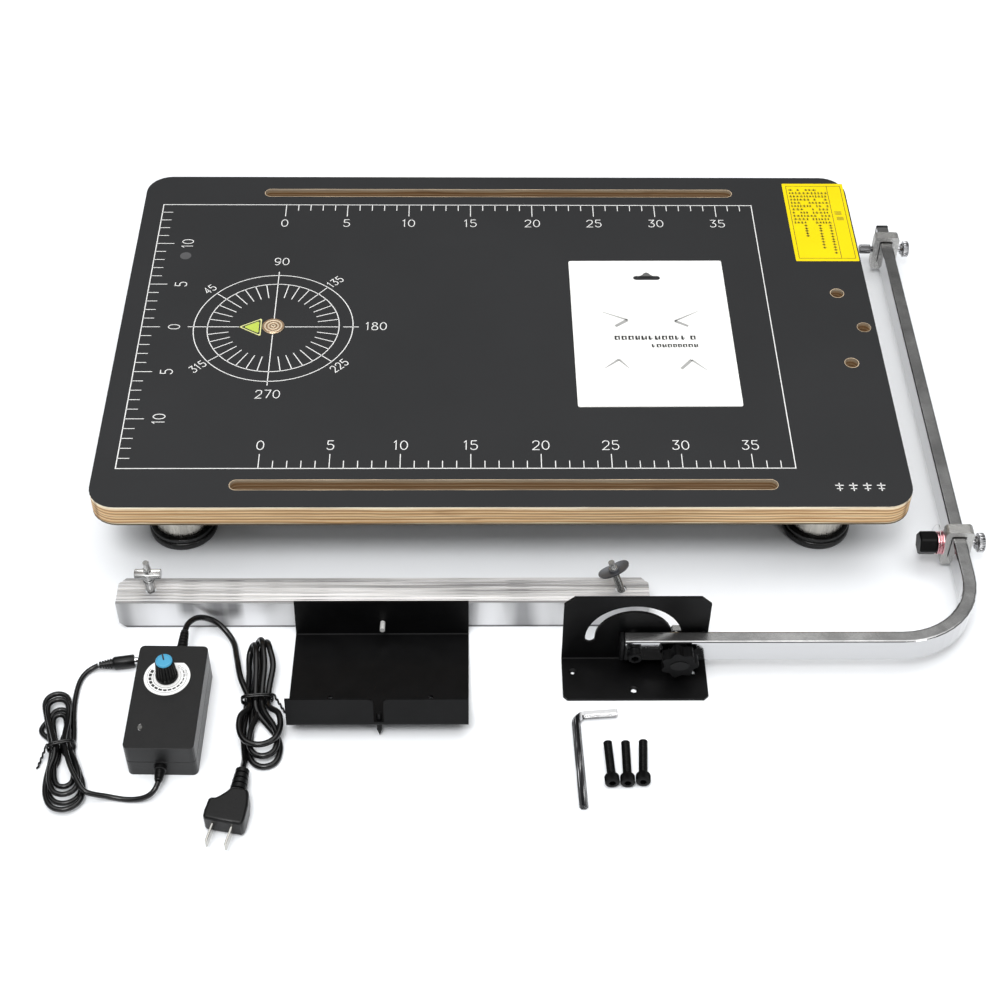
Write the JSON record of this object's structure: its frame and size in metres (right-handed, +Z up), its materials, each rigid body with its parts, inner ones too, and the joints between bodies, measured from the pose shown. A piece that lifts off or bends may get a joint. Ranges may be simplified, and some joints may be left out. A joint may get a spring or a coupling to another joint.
{
  "type": "hot wire cutter",
  "caption": "Bench-top hot wire foam cutter laid out as a kit: slotted plywood table on feet, fence, stop plate, hinged bow arm with wire spool, and power supply with corded leads.",
  "frame": {"origin": "middle of the kit's floor area, on the floor, measured without the cords and what is on them", "axes": "+Z up, +X to the right along the table's long side, +Y to the back of the table"},
  "size_m": [0.6587, 0.6061, 0.0793],
  "materials": {
    "board_laminate": "matt black laminate on plywood",
    "copper_eyelet": "satin",
    "satin_tube": "satin",
    "black_plastic": "moulded, fine grain",
    "aluminium": "extruded, satin",
    "zinc_steel": "zinc plated",
    "black_coated_steel": "powder coated",
    "black_oxide_steel": "black oxide",
    "chrome": "bright, lightly brushed",
    "cast_nickel": "cast and plated, slightly rough",
    "copper_wire": "wound wire",
    "white_card": "smooth card",
    "white_plate": "printed",
    "circuit_board": "solder mask",
    "clear_lens": "clear",
    "black_cord": "glossy cord jacket",
    "bare_brass": "bright"
  },
  "bodies": {
    "table": {"plywood_board": "board_laminate", "wire_bush": "copper_eyelet", "leg_tube_front_left": "satin_tube", "leg_tube_back_left": "satin_tube", "leg_tube_front_right": "satin_tube", "leg_tube_back_right": "satin_tube", "psu_base": "black_plastic", "psu_cover": "black_plastic", "psu_dial": "white_plate", "psu_circuit_board": "circuit_board", "potentiometer": "zinc_steel", "psu_led": "clear_lens", "mains_gland": "black_plastic", "dc_relief": "black_plastic", "dc_cord_lead": "black_cord", "dc_cord_tail": "black_cord", "dc_cord_hank": "black_cord", "dc_cord_tie": "black_plastic", "dc_connector": "black_plastic", "mains_cord_lead": "black_cord", "mains_cord_hank": "black_cord", "mains_cord_tie": "black_plastic", "mains_plug": "black_plastic", "plug_blade_left": "bare_brass", "plug_blade_right": "bare_brass"},
    "foot_front_left": {"foot_front_left": "black_plastic"},
    "foot_back_left": {"foot_back_left": "black_plastic"},
    "foot_front_right": {"foot_front_right": "black_plastic"},
    "foot_back_right": {"foot_back_right": "black_plastic"},
    "psu_knob": {"psu_knob": "black_plastic"},
    "fence": {"fence_rail": "aluminium", "fence_bolt_left": "zinc_steel", "fence_bolt_right": "zinc_steel"},
    "bar_nut": {"bar_nut": "zinc_steel"},
    "wing_nut": {"wing_nut": "zinc_steel"},
    "bracket": {"arc_bracket": "black_coated_steel", "pivot_bolt": "black_oxide_steel", "pivot_nut": "zinc_steel", "pivot_washer": "zinc_steel"},
    "arm": {"arm_tube": "chrome", "arm_inner_plug": "black_plastic", "arm_tip_plug": "black_plastic", "clamp_nut": "zinc_steel"},
    "star_knob": {"star_knob": "black_plastic", "clamp_stud": "zinc_steel"},
    "near_clamp": {"near_clamp": "cast_nickel"},
    "near_thumb_screw": {"near_thumb_screw": "chrome"},
    "wire_spool": {"spool_cap": "black_plastic", "wire_spool": "copper_wire"},
    "far_clamp": {"far_clamp": "cast_nickel"},
    "far_thumb_screw": {"far_thumb_screw": "chrome"},
    "wire_post": {"wire_post": "chrome"},
    "stop_plate": {"stop_plate": "black_coated_steel", "stop_plate_pin": "black_coated_steel", "stop_plate_stud": "zinc_steel"},
    "wire_card": {"wire_card": "white_card"},
    "hex_key": {"hex_key": "chrome"},
    "cap_screw_1": {"cap_screw_1": "black_oxide_steel"},
    "cap_screw_2": {"cap_screw_2": "black_oxide_steel"},
    "cap_screw_3": {"cap_screw_3": "black_oxide_steel"}
  },
  "joints": [
    {"name": "foot_front_left_level", "type": "slide", "parent": "table", "child": "foot_front_left", "axis": [0, 0, -1], "range_m": [0, 0.008]},
    {"name": "foot_back_left_level", "type": "slide", "parent": "table", "child": "foot_back_left", "axis": [0, 0, -1], "range_m": [0, 0.008]},
    {"name": "foot_front_right_level", "type": "slide", "parent": "table", "child": "foot_front_right", "axis": [0, 0, -1], "range_m": [0, 0.008]},
    {"name": "foot_back_right_level", "type": "slide", "parent": "table", "child": "foot_back_right", "axis": [0, 0, -1], "range_m": [0, 0.008]},
    {"name": "power_knob_turn", "type": "hinge", "parent": "table", "child": "psu_knob", "pos_m": [-0.25505, -0.19923, 0.03], "axis": [0, 0, 1], "range_deg": [0, 300]},
    {"name": "fence_lift", "type": "slide", "parent": "table", "child": "fence", "axis": [0, 0, 1], "range_m": [0, 0.05]},
    {"name": "bar_nut_turn", "type": "hinge", "parent": "fence", "child": "bar_nut", "pos_m": [-0.27595, -0.11895, 0.042], "axis": [0, 0, 1], "continuous": true},
    {"name": "wing_nut_turn", "type": "hinge", "parent": "fence", "child": "wing_nut", "pos_m": [0.04715, -0.11895, 0.04558], "axis": [-0.2756, 0, 0.9613], "continuous": true},
    {"name": "bracket_lift", "type": "slide", "parent": "table", "child": "bracket", "axis": [0, 0, 1], "range_m": [0, 0.05]},
    {"name": "arm_tilt", "type": "hinge", "parent": "bracket", "child": "arm", "pos_m": [0.05935, -0.16905, 0.024], "axis": [0, -1, 0], "range_deg": [0, 150]},
    {"name": "star_knob_turn", "type": "hinge", "parent": "arm", "child": "star_knob", "pos_m": [0.08935, -0.18095, 0.024], "axis": [0, -1, 0], "continuous": true},
    {"name": "near_clamp_slide", "type": "slide", "parent": "arm", "child": "near_clamp", "axis": [0, 1, 0], "range_m": [-0.028, 0.16]},
    {"name": "near_thumb_screw_turn", "type": "hinge", "parent": "near_clamp", "child": "near_thumb_screw", "pos_m": [0.31285, -0.07445, 0.024], "axis": [1, 0, 0], "continuous": true},
    {"name": "wire_spool_turn", "type": "hinge", "parent": "near_clamp", "child": "wire_spool", "pos_m": [0.27785, -0.07445, 0.024], "axis": [1, 0, 0], "continuous": true},
    {"name": "far_clamp_slide", "type": "slide", "parent": "arm", "child": "far_clamp", "axis": [0, 1, 0], "range_m": [-0.15, 0.01]},
    {"name": "far_thumb_screw_turn", "type": "hinge", "parent": "far_clamp", "child": "far_thumb_screw", "pos_m": [0.31285, 0.25905, 0.024], "axis": [1, 0, 0], "continuous": true},
    {"name": "wire_post_turn", "type": "hinge", "parent": "far_clamp", "child": "wire_post", "pos_m": [0.28185, 0.25905, 0.024], "axis": [1, 0, 0], "continuous": true},
    {"name": "stop_plate_lift", "type": "slide", "parent": "table", "child": "stop_plate", "axis": [0, 0, 1], "range_m": [0, 0.05]},
    {"name": "wire_card_lift", "type": "slide", "parent": "table", "child": "wire_card", "axis": [0, 0, 1], "range_m": [0, 0.05]},
    {"name": "hex_key_lift", "type": "slide", "parent": "table", "child": "hex_key", "axis": [0, 0, 1], "range_m": [0, 0.05]},
    {"name": "cap_screw_1_lift", "type": "slide", "parent": "table", "child": "cap_screw_1", "axis": [0, 0, 1], "range_m": [0, 0.05]},
    {"name": "cap_screw_2_lift", "type": "slide", "parent": "table", "child": "cap_screw_2", "axis": [0, 0, 1], "range_m": [0, 0.05]},
    {"name": "cap_screw_3_lift", "type": "slide", "parent": "table", "child": "cap_screw_3", "axis": [0, 0, 1], "range_m": [0, 0.05]}
  ]
}
